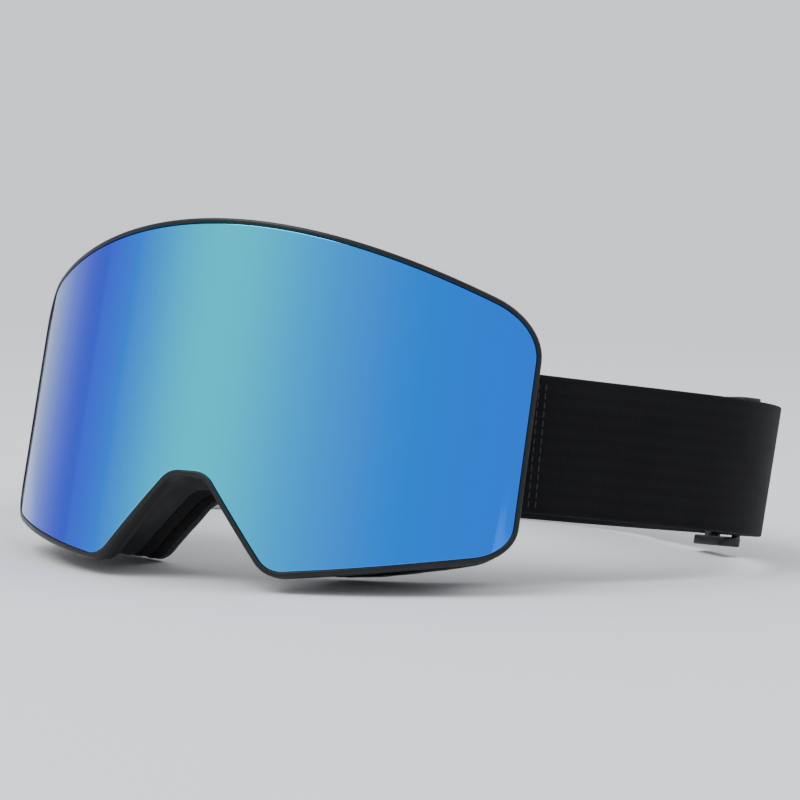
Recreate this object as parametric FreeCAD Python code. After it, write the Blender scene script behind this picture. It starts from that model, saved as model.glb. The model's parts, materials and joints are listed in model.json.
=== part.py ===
"""Ski goggles with a cylindrical lens that pulls off its magnets, and an elastic head strap.

Millimetres. +Z is up, the lens faces -Y, and +X is the wearer's left. Each
piece is drawn with the lens upright, and with the origin on the middle plane,
where the face foam is nearest to the lens, half way up the lens's sides.
The last step leans them all back, as the goggles stand on a table: on the
cheeks of the face foam and on the back of the strap. The origin is then on the
table, in the middle of the goggles' box.

The lens is a cut from an upright cylinder. Everything that the lens carries is
a layer of that cylinder, and is given by its depth under the lens's front
surface. Its outline is drawn in the front view and cut square to the cylinder,
towards its axis. Everything that meets the face is a layer of a second, tighter
upright cylinder, the face curve. The lens pulls off straight forward, along -Y.
"""

import FreeCAD, Part

import math
import os
from collections import namedtuple

Vector = FreeCAD.Vector

# ---------------------------------------------------------------- lens, front view
LENS_RADIUS = 115.0  # cylinder of the front surface
LENS_HALF_WIDTH = 86.5
LENS_CROWN = 52.0  # top of the lens, over the middle of its sides
LENS_CROWN_RADIUS = 213.0
LENS_SIDE_LOW = 32.3  # how far the side runs down
LENS_LOBE = (29.4, 47.0)  # cheek corner: out from the middle plane, and down
LENS_BOTTOM_BOW = 1.4
NOSE = (6.4, 20.5)  # corner of the nose notch: out, and down
LENS_CORNERS = (15.5, 11.0, 8.0, 8.0)  # radii: top, bottom, cheek, nose
LENS_THICKNESS = 1.6
INNER_LENS_THICKNESS = 0.8
LENS_AIR_GAP = 3.0  # between the two lenses
EYE_RELIEF = 36.0  # lens front to face foam, on the middle plane

# ---------------------------------------------------------------- rim and seat
RIM_BORDER = 1.7  # black edge seen round the lens
RIM_PROUD = 0.3  # the rim's lip stands over the lens
RIM_LEDGE = 2.2  # thickness of the ledge behind the lens
LEDGE_WIDTH = 5.5  # how far the ledge reaches in under the lens
TAPE_THICKNESS = 0.3
SEAT_GAP = 0.2  # air between rim and seat when the lens is on
SEAT_THICKNESS = 2.0
SEAT_INSET = 0.8  # the seat's edge stands back behind the rim's edge
SIDE_LEDGE = 10.5  # the ledge is wider at the sides, where the strap pulls

# ---------------------------------------------------------------- magnets and pegs
MAGNET_RADIUS = 2.0
MAGNET_THICKNESS = 1.3
PEG_RADIUS = 1.5
PEG_LENGTH = 1.8
TOP_MAGNETS = (18.0, LENS_HALF_WIDTH - 22.5)  # distances from the middle plane
BOTTOM_MAGNETS = (LENS_LOBE[0] + 8.6, LENS_HALF_WIDTH - 15.5)
SIDE_MAGNET_Z = 12.0

# ---------------------------------------------------------------- face frame and foam
SKIRT_WALL = 1.8
SKIRT_FLANGE = 1.8
FACE_RADIUS = 100.0  # curve of the foam where it meets the face
FOAM_BASE = 8.0
FOAM_MIDDLE = 6.0
FOAM_FLEECE = 2.0
FOAM_WIDTH = 12.0
SKIRT_REACH = 80.0  # from the lens to where the back outline is drawn
SKIRT_SIDE_INSET = 13.0  # room beside the skirt for the strap's bars
VENT_SIZE = (13.0, 5.0)  # along the frame, and front to back
VENT_CORNER = 2.0
TOP_VENT_COUNT = 6
BOTTOM_VENT_COUNT = 2
VENT_END = 10.0  # from the end slot's middle to where the skirt's corner begins
VENT_FOAM = 2.0
VENT_FOAM_LAP = 5.0  # how far it reaches past the end slots

# ---------------------------------------------------------------- strap
STRAP_WIDTH = 40.0
STRAP_THICKNESS = 1.8
STRAP_LAP_GAP = 0.15  # between the two layers
STRAP_HEADING = 36.0  # degrees outward from straight back, at the frame
STRAP_RISE = 5.5  # degrees that the strap's plane climbs to the back
STRAP_HEIGHT = 1.0  # middle of the strap at the bars
STRAP_SIDE = 63.4  # straight run beside the head
STRAP_BEND = 41.0  # radius of the bend behind it
STRAP_BACK_HEADING = -57.0  # after the bend
STRAP_BACK_RUN = 50.0  # straight run that the adjuster travels on
LOOP_LENGTH = 18.0  # sewn end, behind the bar
LOOP_TAIL_EASE = 60.0  # radius of the gentle bends that bring the layers together
BAR_RADIUS = 1.25
BAR_HEAD = (2.0, 0.8)  # radius and thickness
LUG_WALL = 1.1
LUG_HEIGHT = 5.4
LUG_FOOT = 2.0  # how much wider the lug is on the side of the face

# ---------------------------------------------------------------- adjuster
ADJUSTER_LENGTH = 18.0
ADJUSTER_BAR = 1.8  # thickness of its bars
ADJUSTER_END_BAR = 3.0  # width of the outer bars
ADJUSTER_MIDDLE_BAR = 3.5
ADJUSTER_RAIL = 3.0
ADJUSTER_REST = 9.3  # its middle, from the start of the back run

# ---------------------------------------------------------------- grip strips
GRIP_WIDTH = 3.0
GRIP_THICKNESS = 0.5
GRIP_PITCH = 10.0
GRIP_SPREAD = 22.0  # degrees each side of the middle plane

# ---------------------------------------------------------------- clearances
BOND = 0.05  # glue line between pieces that are stuck together
FIT = 0.1  # between hard pieces that seat in each other
LENS_DRAW = 0.5  # between the lens assembly and the seat's opening, as it pulls off
PIN_FIT = 0.05  # bar in its lugs
LOOP_FIT = 0.15  # strap round its bar
SWING_GAP = 0.9  # between the swinging strap end and the rest of the strap
STRAP_ROOM = 0.6  # strap loop to skirt, and strap's edge to lug
SEAT_ROOM = 2.4  # strap loop to seat: its top leans forward, and it swings
SLIDE_FIT = 0.3  # adjuster on the strap
RAIL_FIT = 0.6  # adjuster's rails to the strap's edges
SMALLEST_CORNER = 1.0

# ---------------------------------------------------------------- worked out
lens_axis_y = LENS_RADIUS - EYE_RELIEF
tape_depth = LENS_THICKNESS
ledge_depth = LENS_THICKNESS + TAPE_THICKNESS
rim_back = ledge_depth + RIM_LEDGE
seat_front = rim_back + SEAT_GAP
seat_back = seat_front + SEAT_THICKNESS
inner_lens_depth = LENS_THICKNESS + LENS_AIR_GAP
foam_thickness = FOAM_BASE + FOAM_MIDDLE + FOAM_FLEECE
edge_lean = math.sqrt(1 - (LENS_HALF_WIDTH / LENS_RADIUS) ** 2)
loop_radius = BAR_RADIUS + LOOP_FIT + STRAP_THICKNESS / 2
lap = STRAP_THICKNESS + STRAP_LAP_GAP
TALL = 200.0  # cutting bodies reach past the goggles
CURVE_POINTS = 9  # along each curved edge of the lens's outline
EDGE_SAMPLES = 60  # points along each edge, when the goggles are stood on the table

Outline = namedtuple(
    "Outline",
    "side crown crown_radius bottom_side lobe_x lobe_z bow nose_x nose_z"
    " top_corner bottom_corner lobe_corner nose_corner",
)

LENS_OUTLINE = Outline(
    LENS_HALF_WIDTH, LENS_CROWN, LENS_CROWN_RADIUS, -LENS_SIDE_LOW,
    LENS_LOBE[0], -LENS_LOBE[1], LENS_BOTTOM_BOW, NOSE[0], -NOSE[1], *LENS_CORNERS,
)
# The skirt's outline at the lens and SKIRT_REACH behind it, ruled in between.
SKIRT_FRONT = Outline(
    side=LENS_HALF_WIDTH - SKIRT_SIDE_INSET, crown=LENS_CROWN - 1.5, crown_radius=LENS_CROWN_RADIUS,
    bottom_side=-LENS_SIDE_LOW - 0.7, lobe_x=LENS_LOBE[0], lobe_z=-LENS_LOBE[1] + 1.2, bow=LENS_BOTTOM_BOW,
    nose_x=NOSE[0] + 0.6, nose_z=-NOSE[1] - 0.5,
    top_corner=14.0, bottom_corner=12.0, lobe_corner=8.0, nose_corner=8.0,
)
SKIRT_BACK = Outline(
    side=SKIRT_FRONT.side - 1.5, crown=SKIRT_FRONT.crown - 5.5, crown_radius=LENS_CROWN_RADIUS - 23.0,
    bottom_side=SKIRT_FRONT.bottom_side + 1.0, lobe_x=LENS_LOBE[0] + 2.1, lobe_z=SKIRT_FRONT.lobe_z + 2.8, bow=1.0,
    nose_x=SKIRT_FRONT.nose_x + 12.0, nose_z=SKIRT_FRONT.nose_z - 10.0,
    top_corner=20.0, bottom_corner=14.0, lobe_corner=8.0, nose_corner=8.0,
)
side_opening = LENS_HALF_WIDTH - SIDE_LEDGE  # half width of the hole in the ledge and seat


# ---------------------------------------------------------------- outlines
def unit(v):
    return v / v.Length


def arc_centre(a, b, bow):
    """Centre and radius of the arc from a to b that stands out downward by bow. b is left of a."""
    chord = b - a
    radius = (chord.Length ** 2 / 4 + bow * bow) / (2 * bow)
    out = unit(Vector(-chord.z, 0, chord.x))
    return (a + b) / 2 - out * (radius - bow), radius


def corner_line_arc(point, along, inward, centre, radius, corner, near):
    """Rounds the corner of a line and an arc: the fillet's middle and its two tangent points."""
    start = point + inward * corner
    to_centre = start - centre
    half = to_centre.dot(along)
    root = math.sqrt(half ** 2 - to_centre.dot(to_centre) + (radius - corner) ** 2)
    middle = min((start + along * (-half + s * root) for s in (1, -1)), key=lambda p: (p - near).Length)
    return middle, middle - inward * corner, centre + unit(middle - centre) * radius


def round_arc(middle, start, end):
    """The shorter arc about middle from start to end."""
    top = middle + unit(start + end - middle * 2) * (start - middle).Length
    return Part.Arc(start, top, end).toShape()


def mirrored(p):
    return Vector(-p.x, p.y, p.z)


def outline_wire(shape, margin, y, side=None):
    """The outline grown by margin in the plane at y. side sets the half width by itself."""
    half = shape.side + margin * edge_lean if side is None else side
    crown_centre = Vector(0, 0, shape.crown - shape.crown_radius)
    crown_radius = shape.crown_radius + margin
    outer = Vector(shape.side, 0, shape.bottom_side)
    lobe = Vector(shape.lobe_x, 0, shape.lobe_z)
    nose = Vector(shape.nose_x, 0, shape.nose_z)
    bottom_centre, bottom_radius = arc_centre(outer, lobe, shape.bow)
    bottom_radius += margin
    down, inward = Vector(0, 0, -1), Vector(-1, 0, 0)
    slope = unit(lobe - nose)
    slope_in = Vector(-slope.z, 0, slope.x)
    slope_point = nose - slope_in * margin

    def rounded(corner):
        return max(SMALLEST_CORNER, corner + margin)

    side_point = Vector(half, 0, 0)
    top_mid, top_side, top_crown = corner_line_arc(
        side_point, down, inward, crown_centre, crown_radius, rounded(shape.top_corner),
        Vector(half, 0, shape.crown))
    low_mid, low_side, low_bottom = corner_line_arc(
        side_point, down, inward, bottom_centre, bottom_radius, rounded(shape.bottom_corner), outer)
    lobe_mid, lobe_slope, lobe_bottom = corner_line_arc(
        slope_point, slope, slope_in, bottom_centre, bottom_radius, rounded(shape.lobe_corner), lobe)
    # The corner at the top of the nose is hollow, so its fillet shrinks as the outline grows.
    hollow = max(SMALLEST_CORNER, shape.nose_corner - margin)
    top_z = shape.nose_z - margin
    along = (slope_point.z - top_z) / -slope.z
    nose_corner = slope_point + slope * along
    reach = hollow * math.tan(math.acos(slope.x) / 2)
    nose_flat = nose_corner - Vector(reach, 0, 0)
    nose_slope = nose_corner + slope * reach
    nose_mid = nose_flat - Vector(0, 0, hollow)

    bottom_mid = bottom_centre + unit(low_bottom + lobe_bottom - bottom_centre * 2) * bottom_radius
    right = [
        round_arc(top_mid, top_crown, top_side),
        Part.LineSegment(top_side, low_side).toShape(),
        round_arc(low_mid, low_side, low_bottom),
        Part.Arc(low_bottom, bottom_mid, lobe_bottom).toShape(),
        round_arc(lobe_mid, lobe_bottom, lobe_slope),
        Part.LineSegment(lobe_slope, nose_slope).toShape(),
        round_arc(nose_mid, nose_slope, nose_flat),
    ]
    left = [e.mirror(Vector(0, 0, 0), Vector(1, 0, 0)) for e in reversed(right)]
    flat = Part.LineSegment(nose_flat, mirrored(nose_flat)).toShape()
    crown_top = Vector(0, 0, shape.crown + margin)
    crown = Part.Arc(mirrored(top_crown), crown_top, top_crown).toShape()
    wire = Part.Wire(Part.__sortEdges__([crown, *right, flat, *left]))
    wire.translate(Vector(0, y, 0))
    return wire


# ---------------------------------------------------------------- cutting bodies
def upright_cylinder(radius, axis_y):
    return Part.makeCylinder(radius, 2 * TALL, Vector(0, axis_y, -TALL))


def under_lens(depth):
    """Everything deeper than depth under the lens's front surface."""
    return upright_cylinder(LENS_RADIUS - depth, lens_axis_y)


def face(height):
    """The face, grown forward by height."""
    return upright_cylinder(FACE_RADIUS + height, FACE_RADIUS)


def towards_axis(wire, y):
    """The wire drawn on the lens's front, carried along the lens's radii to the plane at y."""
    edges = []
    for edge in wire.Edges:
        straight = edge.Curve.TypeId == "Part::GeomLine"
        points = [
            Vector((lens_axis_y - y) * math.tan(math.asin(p.x / LENS_RADIUS)), y, p.z)
            for p in edge.discretize(2 if straight else CURVE_POINTS)
        ]
        if straight:
            edges.append(Part.LineSegment(*points).toShape())
        else:
            curve = Part.BSplineCurve()
            curve.interpolate(points)
            edges.append(curve.toShape())
    return Part.Wire(Part.__sortEdges__(edges))


def lens_column(margin, side=None):
    """The lens's outline cut square to the lens, from in front of it to well behind it."""
    wire = outline_wire(LENS_OUTLINE, margin, 0, side)
    ends = (-EYE_RELIEF - 10.0, lens_axis_y - LENS_RADIUS / 3)
    return Part.makeLoft([towards_axis(wire, y) for y in ends], True, True)


def lens_layer(column, front, back):
    return column.common(under_lens(front)).cut(under_lens(back))


def skirt(margin):
    """The tapering body of the face frame and its foam."""
    front = outline_wire(SKIRT_FRONT, margin, -EYE_RELIEF)
    back = outline_wire(SKIRT_BACK, margin, SKIRT_REACH - EYE_RELIEF)
    return Part.makeLoft([front, back], True, True)


def skirt_side(y):
    share = (y + EYE_RELIEF) / SKIRT_REACH
    return SKIRT_FRONT.side + (SKIRT_BACK.side - SKIRT_FRONT.side) * share


# ---------------------------------------------------------------- points on the lens
def lens_y(x, depth):
    radius = LENS_RADIUS - depth
    return lens_axis_y - math.sqrt(radius ** 2 - x ** 2)


def face_y(x, height):
    radius = FACE_RADIUS + height
    return FACE_RADIUS - math.sqrt(radius ** 2 - x ** 2)


def crown_z(x, margin):
    radius = LENS_OUTLINE.crown_radius + margin
    return LENS_OUTLINE.crown - LENS_OUTLINE.crown_radius + math.sqrt(radius ** 2 - x ** 2)


def bottom_z(x, margin):
    outer = Vector(LENS_OUTLINE.side, 0, LENS_OUTLINE.bottom_side)
    lobe = Vector(LENS_OUTLINE.lobe_x, 0, LENS_OUTLINE.lobe_z)
    centre, radius = arc_centre(outer, lobe, LENS_OUTLINE.bow)
    return centre.z - math.sqrt((radius + margin) ** 2 - (x - centre.x) ** 2)


def ledge_places():
    """Middles of the ledge where a magnet or a peg stands, as (x, z) pairs for both halves."""
    middle = (RIM_BORDER - LEDGE_WIDTH) / 2
    top_peg = sum(TOP_MAGNETS) / 2
    bottom_peg = sum(BOTTOM_MAGNETS) / 2
    side_x = (side_opening + LENS_HALF_WIDTH) / 2
    magnets = [(x, crown_z(x, middle)) for x in TOP_MAGNETS]
    magnets += [(x, bottom_z(x, middle)) for x in BOTTOM_MAGNETS]
    magnets += [(side_x, SIDE_MAGNET_Z), (side_x, -SIDE_MAGNET_Z)]
    pegs = [(top_peg, crown_z(top_peg, middle)), (bottom_peg, bottom_z(bottom_peg, middle))]
    return [[(s * x, z) for x, z in places for s in (1, -1)] for places in (magnets, pegs)]


def disc(place, radius, front, back):
    """A round disc square to the lens, between two depths."""
    x, z = place
    sine = x / LENS_RADIUS
    inward = Vector(-sine, math.sqrt(1 - sine ** 2), 0)
    start = Vector(0, lens_axis_y, z) - inward * (LENS_RADIUS - front)
    return Part.makeCylinder(radius, back - front, start, inward)


def peg(place, radius, length):
    """A round peg along Y that stands on the rim's back."""
    x, z = place
    start = lens_y(x, rim_back) - RIM_LEDGE / 2
    return Part.makeCylinder(radius, length + RIM_LEDGE / 2, Vector(x, start, z), Vector(0, 1, 0))


def fuse(first, others):
    return first.multiFuse(others).removeSplitter() if others else first


# ---------------------------------------------------------------- lens assembly
def outer_lens():
    return lens_layer(lens_column(0), 0, LENS_THICKNESS)


def lens_tape():
    ring = lens_column(-FIT).cut(lens_column(-LEDGE_WIDTH, side_opening))
    return lens_layer(ring, tape_depth + BOND / 2, ledge_depth - BOND / 2)


def lens_rim():
    magnets, pegs = ledge_places()
    body = lens_layer(lens_column(RIM_BORDER), -RIM_PROUD, rim_back)
    body = body.cut(lens_layer(lens_column(FIT), -2 * RIM_PROUD, ledge_depth))
    body = body.cut(lens_column(-LEDGE_WIDTH, side_opening))
    body = fuse(body, [peg(p, PEG_RADIUS, PEG_LENGTH) for p in pegs])
    pocket = rim_back - MAGNET_THICKNESS - FIT
    return body.cut([disc(m, MAGNET_RADIUS + FIT / 2, pocket, seat_front) for m in magnets])


def lens_magnets():
    back = rim_back - FIT / 2
    return Part.makeCompound(
        [disc(m, MAGNET_RADIUS, back - MAGNET_THICKNESS, back) for m in ledge_places()[0]])


def inner_column(margin):
    """Outline of what stands inside the ledge's opening, less margin."""
    return lens_column(-LEDGE_WIDTH - LENS_DRAW - margin, side_opening - LENS_DRAW - margin)


def lens_spacer():
    width = 3.5
    ring = inner_column(0).cut(inner_column(width))
    return lens_layer(ring, LENS_THICKNESS + BOND, inner_lens_depth - BOND)


def inner_lens():
    return lens_layer(inner_column(0), inner_lens_depth, inner_lens_depth + INNER_LENS_THICKNESS)


# ---------------------------------------------------------------- strap bars
bar_depth = seat_back + loop_radius + STRAP_THICKNESS / 2 + SEAT_ROOM


def bar_centre():
    """Where the wearer's left strap bar stands in the plan."""
    reach = loop_radius + STRAP_THICKNESS / 2 + STRAP_ROOM
    x = skirt_side(0) + reach
    for _ in range(20):
        x = skirt_side(lens_y(x, bar_depth)) + reach
    return Vector(x, lens_y(x, bar_depth), 0)


bar = bar_centre()
lug_radius = BAR_RADIUS + LUG_WALL
lug_start = STRAP_WIDTH / 2 + STRAP_ROOM


def tilt(shape):
    """Takes the strap's parts, drawn level, to the strap's climbing plane."""
    shape.translate(Vector(0, 0, STRAP_HEIGHT))
    shape.rotate(Vector(0, bar.y, STRAP_HEIGHT), Vector(1, 0, 0), STRAP_RISE)
    return shape


def other_side(shape):
    return shape.mirror(Vector(0, 0, 0), Vector(1, 0, 0))


def bar_pin():
    pin = Part.makeCylinder(BAR_RADIUS, 2 * (lug_start + LUG_HEIGHT), bar - Vector(0, 0, lug_start + LUG_HEIGHT))
    head_radius, head_height = BAR_HEAD
    top = bar + Vector(0, 0, lug_start + LUG_HEIGHT)
    head = Part.makeCylinder(head_radius, head_height, top)
    return tilt(pin.fuse(head).removeSplitter())


def lugs():
    """The seat's two ears for one bar, before they are bored."""
    forward = Vector(bar.x, bar.y - lens_axis_y, 0).normalize()
    angle = math.degrees(math.atan2(forward.y, forward.x))
    made = []
    for low in (lug_start, -lug_start - LUG_HEIGHT):
        base = bar + Vector(0, 0, low)
        knuckle = Part.makeCylinder(lug_radius, LUG_HEIGHT, base)
        foot = lug_radius + LUG_FOOT
        web = Part.makeBox(bar_depth, lug_radius + foot, LUG_HEIGHT, Vector(0, -foot, 0))
        web.rotate(Vector(0, 0, 0), Vector(0, 0, 1), angle)
        web.translate(base)
        made.append(tilt(knuckle.fuse(web)))
    return made


def bar_bore():
    long = 4 * lug_start
    return tilt(Part.makeCylinder(BAR_RADIUS + PIN_FIT, long, bar - Vector(0, 0, long / 2)))


def lens_seat():
    magnets, pegs = ledge_places()
    column = lens_column(RIM_BORDER - SEAT_INSET)
    body = lens_layer(column, seat_front, seat_back)
    ears = [ear.common(under_lens(seat_front)).common(column.fuse(under_lens(seat_back))) for ear in lugs()]
    ears += [other_side(ear) for ear in ears]
    body = fuse(body, ears)
    body = body.cut(lens_column(-LEDGE_WIDTH, side_opening))
    pockets = [disc(m, MAGNET_RADIUS + FIT / 2, rim_back, seat_front + MAGNET_THICKNESS + FIT) for m in magnets]
    holes = [peg(p, PEG_RADIUS + FIT, TALL) for p in pegs]
    bores = [bar_bore(), other_side(bar_bore())]
    return body.cut(pockets + holes + bores)


def seat_magnets():
    front = seat_front + FIT / 2
    return Part.makeCompound(
        [disc(m, MAGNET_RADIUS, front, front + MAGNET_THICKNESS) for m in ledge_places()[0]])


# ---------------------------------------------------------------- face frame
def evenly(low, high, count):
    return [low + (high - low) * k / (count - 1) for k in range(count)]


top_vent_end = SKIRT_FRONT.side - SKIRT_FRONT.top_corner - VENT_END
top_vents = evenly(-top_vent_end, top_vent_end, TOP_VENT_COUNT)
bottom_vents = evenly(
    SKIRT_FRONT.lobe_x + SKIRT_FRONT.lobe_corner / 2 + VENT_END,
    SKIRT_FRONT.side - SKIRT_FRONT.bottom_corner / 2 - VENT_END, BOTTOM_VENT_COUNT)


def vent_slot(x, sign):
    """A rounded slot through the top (sign 1) or bottom wall, square to the lens."""
    along, deep = VENT_SIZE
    y = (lens_y(x, seat_back) + face_y(x, foam_thickness + SKIRT_FLANGE)) / 2
    slot = Part.makeBox(along, deep, TALL, Vector(-along / 2, -deep / 2, 0))
    slot = slot.makeFillet(VENT_CORNER, [e for e in slot.Edges if abs(e.tangentAt(0).z) > 0.9])
    turn = math.degrees(math.asin(x / LENS_RADIUS))
    slot.rotate(Vector(0, 0, 0), Vector(0, 0, 1), turn)
    slot.translate(Vector(x, y, 0 if sign > 0 else -TALL))
    return slot


def face_frame():
    body = skirt(0).common(under_lens(seat_back + BOND)).cut(face(foam_thickness + BOND))
    hollow = skirt(-SKIRT_WALL).cut(face(foam_thickness + SKIRT_FLANGE))
    body = body.cut(hollow).cut(skirt(-FOAM_WIDTH))
    slots = [vent_slot(x, 1) for x in top_vents]
    slots += [vent_slot(s * x, -1) for x in bottom_vents for s in (1, -1)]
    return body.cut(slots)


def vent_foam(low_x, high_x, sign):
    """A strip of open foam stuck inside the wall, over the slots between two places."""
    strip = skirt(-SKIRT_WALL - BOND).cut(skirt(-SKIRT_WALL - VENT_FOAM))
    strip = strip.common(under_lens(seat_back + FIT)).cut(face(foam_thickness + SKIRT_FLANGE + FIT))
    ends = VENT_SIZE[0] / 2 + VENT_FOAM_LAP
    window = Part.makeBox(
        high_x - low_x + 2 * ends, TALL, TALL,
        Vector(low_x - ends, -TALL / 2, 0 if sign > 0 else -TALL))
    return strip.common(window)


def foam_layer(front, back):
    """A layer of the face foam, between two heights over the face."""
    ring = skirt(0).cut(skirt(-FOAM_WIDTH))
    return ring.common(face(front)).cut(face(back))


# ---------------------------------------------------------------- strap
def heading_vector(heading):
    """Headings are degrees outward from straight back (+Y), positive to the wearer's left."""
    turn = math.radians(heading)
    return Vector(math.sin(turn), math.cos(turn), 0)


def inward_of(heading):
    turn = math.radians(heading)
    return Vector(-math.cos(turn), math.sin(turn), 0)


def follow(start, heading, moves, shift):
    """Edges of a route of straight runs and left turns, shifted inward from the route by shift.

    A move is (length, None) for a run, or (radius, degrees) for a turn.
    A negative radius turns the other way. Returns the edges, the end point and the end heading.
    """
    edges = []
    for size, turn in moves:
        offset = inward_of(heading) * shift
        if turn is None:
            end = start + heading_vector(heading) * size
            edges.append(Part.LineSegment(start + offset, end + offset).toShape())
        else:
            centre = start + inward_of(heading) * size
            sign = 1 if size > 0 else -1
            points = [
                centre - inward_of(heading - sign * turn * k / 2) * (size - shift) for k in (0, 1, 2)]
            edges.append(Part.Arc(*points).toShape())
            heading -= sign * turn
            end = centre - inward_of(heading) * size
        start = end
    return edges, start, heading


def ribbon(start, heading, moves, thickness, low, high):
    """An upright band of that thickness along a route, between two heights."""
    inner = follow(start, heading, moves, thickness / 2)[0]
    outer = follow(start, heading, moves, -thickness / 2)[0]
    caps = [
        Part.LineSegment(inner[k].Vertexes[j].Point, outer[k].Vertexes[j].Point).toShape()
        for k, j in ((0, 0), (-1, -1))
    ]
    wire = Part.Wire(Part.__sortEdges__([*inner, caps[1], *outer, caps[0]]))
    band = Part.Face(wire)
    band.translate(Vector(0, 0, low))
    return band.extrude(Vector(0, 0, high - low))


strap_half = STRAP_WIDTH / 2
first_turn = STRAP_HEADING - STRAP_BACK_HEADING
last_turn = 90 + STRAP_BACK_HEADING
band_start = bar - inward_of(STRAP_HEADING) * loop_radius
cut_from_bar = LOOP_LENGTH + SWING_GAP


def back_run_start():
    return follow(band_start, STRAP_HEADING, [(STRAP_SIDE, None), (STRAP_BEND, first_turn)], 0)[1]


def back_radius():
    end = back_run_start() + heading_vector(STRAP_BACK_HEADING) * STRAP_BACK_RUN
    return end.x / math.sin(math.radians(last_turn))


def strap_band():
    """The outer layer, from behind one sewn end right round to the other."""
    side = (STRAP_SIDE - cut_from_bar, None)
    moves = [side, (STRAP_BEND, first_turn), (STRAP_BACK_RUN, None)]
    moves += [(back_radius(), 2 * last_turn), (STRAP_BACK_RUN, None), (STRAP_BEND, first_turn), side]
    start = band_start + heading_vector(STRAP_HEADING) * cut_from_bar
    return tilt(ribbon(start, STRAP_HEADING, moves, STRAP_THICKNESS, -strap_half, strap_half))


def strap_tail():
    """The inner layer: it eases up against the band, and runs on past the adjuster."""
    shift = 2 * loop_radius - lap
    ease = math.degrees(math.acos(1 - shift / (2 * LOOP_TAIL_EASE)))
    ease_run = 2 * LOOP_TAIL_EASE * math.sin(math.radians(ease))
    moves = [(-LOOP_TAIL_EASE, ease), (LOOP_TAIL_EASE, ease)]
    moves += [(STRAP_SIDE - cut_from_bar - ease_run, None)]
    moves += [(STRAP_BEND - lap, first_turn), (STRAP_BACK_RUN, None)]
    start = bar + inward_of(STRAP_HEADING) * loop_radius + heading_vector(STRAP_HEADING) * cut_from_bar
    return tilt(ribbon(start, STRAP_HEADING, moves, STRAP_THICKNESS, -strap_half, strap_half))


def strap_end():
    """The sewn end that goes round the bar: forward outside it, round, and back inside."""
    start = band_start + heading_vector(STRAP_HEADING) * LOOP_LENGTH
    moves = [(LOOP_LENGTH, None), (-loop_radius, 180), (LOOP_LENGTH, None)]
    return tilt(ribbon(start, STRAP_HEADING + 180, moves, STRAP_THICKNESS, -strap_half, strap_half))


def grip_strips():
    radius = back_radius() - STRAP_THICKNESS / 2 - BOND - GRIP_THICKNESS / 2
    end = back_run_start() + heading_vector(STRAP_BACK_HEADING) * STRAP_BACK_RUN
    centre = end + inward_of(STRAP_BACK_HEADING) * back_radius()
    heading = -90 + GRIP_SPREAD
    start = centre - inward_of(heading) * radius
    strips = []
    for row in (-1, 0, 1):
        low = row * GRIP_PITCH - GRIP_WIDTH / 2
        strips.append(ribbon(start, heading, [(radius, 2 * GRIP_SPREAD)], GRIP_THICKNESS, low, low + GRIP_WIDTH))
    return tilt(Part.makeCompound(strips))


def adjuster():
    """Three-bar slide: two bars outside the strap, one inside, joined by rails past its edges."""
    outside = -STRAP_THICKNESS / 2 - SLIDE_FIT
    inside = lap + STRAP_THICKNESS / 2 + SLIDE_FIT
    rail_low = strap_half + RAIL_FIT
    half = ADJUSTER_LENGTH / 2
    deep = inside - outside + 2 * ADJUSTER_BAR

    def box(x0, x1, y0, y1, z0, z1):
        return Part.makeBox(x1 - x0, y1 - y0, z1 - z0, Vector(x0, y0, z0))

    rails = [
        box(-half, half, outside - ADJUSTER_BAR, inside + ADJUSTER_BAR, low, low + ADJUSTER_RAIL)
        for low in (rail_low, -rail_low - ADJUSTER_RAIL)
    ]
    rails = [
        r.makeFillet(deep / 3, [e for e in r.Edges if abs(e.tangentAt(0).z) > 0.9]) for r in rails]
    ends = [
        box(x0, x0 + ADJUSTER_END_BAR, outside - ADJUSTER_BAR, outside, -rail_low, rail_low)
        for x0 in (-half + ADJUSTER_BAR, half - ADJUSTER_BAR - ADJUSTER_END_BAR)
    ]
    half_bar = ADJUSTER_MIDDLE_BAR / 2
    middle = box(-half_bar, half_bar, inside, inside + ADJUSTER_BAR, -rail_low, rail_low)
    body = fuse(rails[0], [rails[1], *ends, middle])
    place = back_run_start() + heading_vector(STRAP_BACK_HEADING) * ADJUSTER_REST
    body.rotate(Vector(0, 0, 0), Vector(0, 0, 1), 90 - STRAP_BACK_HEADING)
    body.translate(place)
    return tilt(body)


# ---------------------------------------------------------------- everything
def parts():
    pin, end, tail, slide = bar_pin(), strap_end(), strap_tail(), adjuster()
    middle_front = FOAM_MIDDLE + FOAM_FLEECE
    return {
        "outer_lens": outer_lens(),
        "lens_tape": lens_tape(),
        "lens_rim": lens_rim(),
        "lens_magnets": lens_magnets(),
        "lens_spacer": lens_spacer(),
        "inner_lens": inner_lens(),
        "lens_seat": lens_seat(),
        "seat_magnets": seat_magnets(),
        "face_frame": face_frame(),
        "top_vent_foam": vent_foam(top_vents[0], top_vents[-1], 1),
        "bottom_vent_foam_left": vent_foam(bottom_vents[0], bottom_vents[-1], -1),
        "bottom_vent_foam_right": vent_foam(-bottom_vents[-1], -bottom_vents[0], -1),
        "foam_base": foam_layer(foam_thickness, middle_front + BOND),
        "foam_middle": foam_layer(middle_front, FOAM_FLEECE + BOND),
        "foam_fleece": foam_layer(FOAM_FLEECE, 0),
        "strap_bar_left": pin,
        "strap_bar_right": other_side(pin),
        "strap_end_left": end,
        "strap_end_right": other_side(end),
        "strap_band": strap_band(),
        "strap_tail_left": tail,
        "strap_tail_right": other_side(tail),
        "grip_strips": grip_strips(),
        "adjuster_left": slide,
        "adjuster_right": other_side(slide),
    }


# ---------------------------------------------------------------- standing on the table
def edge_points(shapes):
    return [p for shape in shapes for e in shape.Edges for p in e.discretize(EDGE_SAMPLES)]


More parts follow.
